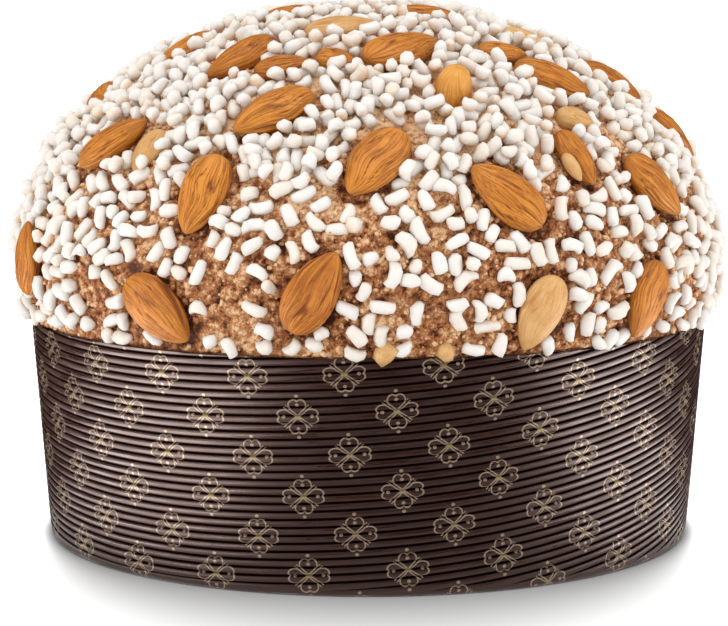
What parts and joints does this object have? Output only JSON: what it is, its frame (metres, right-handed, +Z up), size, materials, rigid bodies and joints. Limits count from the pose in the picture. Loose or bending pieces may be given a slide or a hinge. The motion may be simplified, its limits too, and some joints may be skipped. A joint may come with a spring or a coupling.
{
  "type": "panettone",
  "caption": "Low domed sweet bread in a round ribbed dark paper case, its browned crust covered with pearl sugar and whole almonds.",
  "frame": {"origin": "the middle of the paper case's flat base, on the surface it stands on", "axes": "+Z up through the crown, -Y towards the front as the picture shows it, +X to the right of that front"},
  "size_m": [0.2217, 0.2246, 0.1638],
  "materials": {
    "case_paper": "dark brown satin corrugated baking paper with a small gold print",
    "crust": "browned crackled almond glaze under matt white pearl sugar",
    "almond_skin": "toasted wrinkled brown skin, satin",
    "almond_blanched": "toasted pale blanched almond, smooth satin"
  },
  "bodies": {
    "root": {"paper_case": "case_paper", "bread": "crust", "almond_01": "almond_skin", "almond_02": "almond_skin", "almond_03": "almond_skin", "almond_04": "almond_skin", "almond_05": "almond_skin", "almond_06": "almond_skin", "almond_07": "almond_blanched", "almond_08": "almond_skin", "almond_09": "almond_skin", "almond_10": "almond_blanched", "almond_11": "almond_skin", "almond_12": "almond_skin", "almond_13": "almond_skin", "almond_14": "almond_skin", "almond_15": "almond_blanched", "almond_16": "almond_skin", "almond_17": "almond_skin", "almond_18": "almond_skin", "almond_19": "almond_skin", "almond_20": "almond_skin", "almond_21": "almond_blanched", "almond_22": "almond_skin", "almond_23": "almond_skin", "almond_24": "almond_skin", "almond_25": "almond_skin", "almond_26": "almond_blanched", "almond_27": "almond_skin", "almond_28": "almond_skin", "almond_29": "almond_blanched", "almond_30": "almond_skin", "almond_31": "almond_skin", "almond_32": "almond_skin", "almond_33": "almond_blanched", "almond_34": "almond_skin", "almond_35": "almond_skin", "almond_36": "almond_skin", "almond_37": "almond_skin", "almond_38": "almond_skin", "almond_39": "almond_skin", "almond_40": "almond_skin", "almond_41": "almond_blanched", "almond_42": "almond_skin", "almond_43": "almond_skin", "almond_44": "almond_skin", "almond_45": "almond_blanched", "almond_46": "almond_skin", "almond_47": "almond_skin", "almond_48": "almond_skin", "almond_49": "almond_skin", "almond_50": "almond_skin", "almond_51": "almond_skin", "almond_52": "almond_blanched", "almond_53": "almond_skin"}
  },
  "joints": []
}
